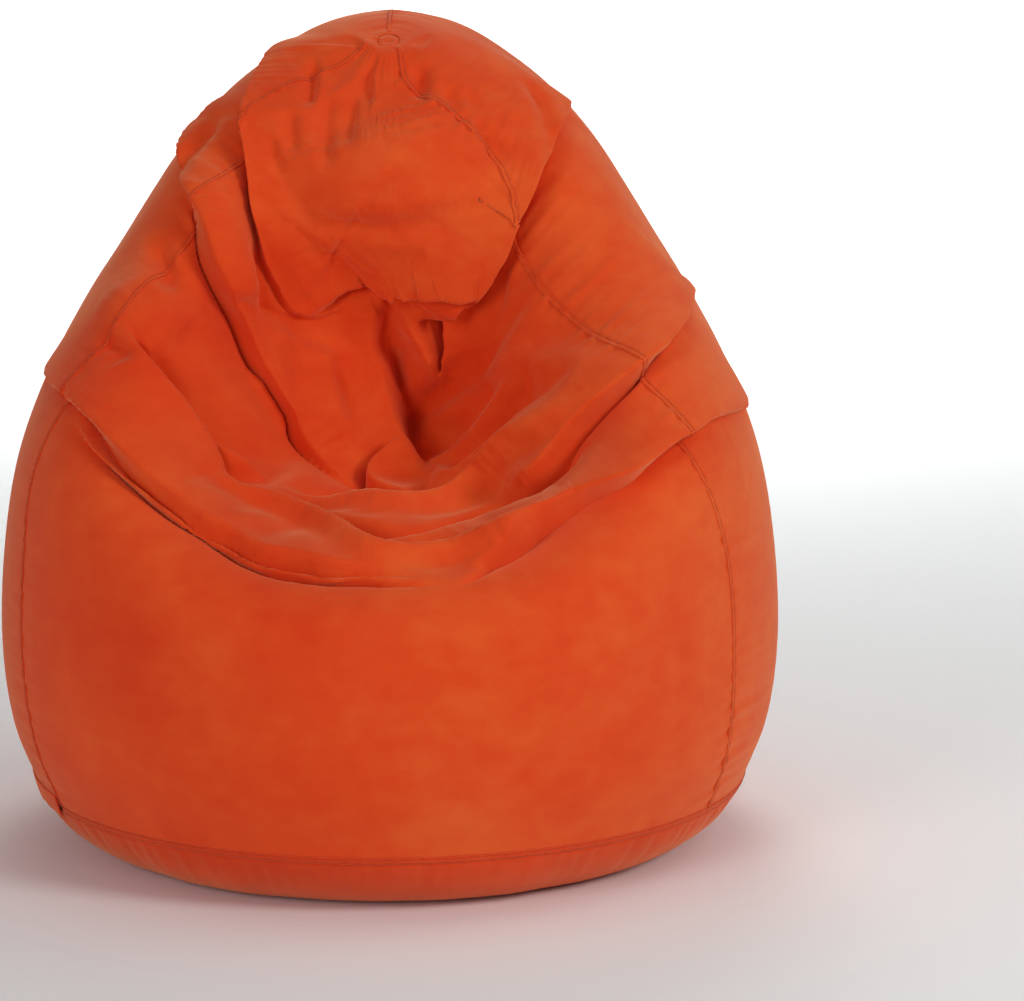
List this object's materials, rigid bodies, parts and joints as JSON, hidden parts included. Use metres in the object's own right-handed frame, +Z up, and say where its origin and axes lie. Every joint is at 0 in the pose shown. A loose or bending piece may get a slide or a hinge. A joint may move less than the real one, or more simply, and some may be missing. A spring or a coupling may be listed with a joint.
{
  "type": "bean bag chair",
  "caption": "Teardrop bean bag chair: sewn velvet gores on a round base, scooped seat, zipped cover over a zipped liner of beads.",
  "frame": {"origin": "on the floor under the middle of the round base", "axes": "+Z up, the seat faces -Y, +X to the right of the seat seen from the front"},
  "size_m": [0.9997, 1.0014, 1.0508],
  "materials": {
    "velvet": "short-pile orange velvet",
    "velvet_base": "short-pile orange velvet, in the shade of the body",
    "thread": "spun polyester thread",
    "zip_tape": "woven polyester tape",
    "zip_coil": "moulded polyester coil",
    "zip_metal": "plated",
    "label": "woven satin, blank",
    "liner": "plain polyester lining",
    "liner_zip": "white polyester coil",
    "beads": "expanded polystyrene beads"
  },
  "bodies": {
    "bag": {"front_panel": "velvet", "rear_left_panel": "velvet", "rear_right_panel": "velvet", "base_panel": "velvet_base", "front_left_seam": "velvet", "front_right_seam": "velvet", "back_seam": "velvet", "base_seam": "velvet_base", "front_left_thread": "thread", "front_right_thread": "thread", "back_thread": "thread", "base_thread": "thread", "tip_gather": "velvet", "zip_placket": "velvet", "zip_tape_upper": "zip_tape", "zip_tape_lower": "zip_tape", "zip_coil_upper": "zip_coil", "zip_coil_lower": "zip_coil", "zip_closed_stop": "zip_metal", "zip_open_stop": "zip_metal", "liner_front": "liner", "liner_rear_left": "liner", "liner_rear_right": "liner", "liner_base": "liner", "liner_tip_gather": "liner", "liner_tape_upper": "liner_zip", "liner_tape_lower": "liner_zip", "liner_coil_upper": "liner_zip", "liner_coil_lower": "liner_zip", "liner_closed_stop": "zip_metal", "liner_open_stop": "zip_metal", "bead_fill": "beads"},
    "zip_slider": {"zip_slider": "zip_metal"},
    "liner_slider": {"liner_slider": "zip_metal"},
    "care_label": {"care_label": "label"}
  },
  "joints": [
    {"name": "zip_slider_travel", "type": "hinge", "parent": "bag", "child": "zip_slider", "pos_m": [0, 0, 0.076], "axis": [0, 0, 1], "range_deg": [0, 111]},
    {"name": "liner_slider_travel", "type": "hinge", "parent": "bag", "child": "liner_slider", "pos_m": [0, 0, 0.08], "axis": [0, 0, 1], "range_deg": [-111, 0]},
    {"name": "care_label_swing", "type": "hinge", "parent": "bag", "child": "care_label", "pos_m": [0.03219, 0.46038, 0.076], "axis": [0.9976, -0.0698, 0], "range_deg": [-18, 105]}
  ]
}
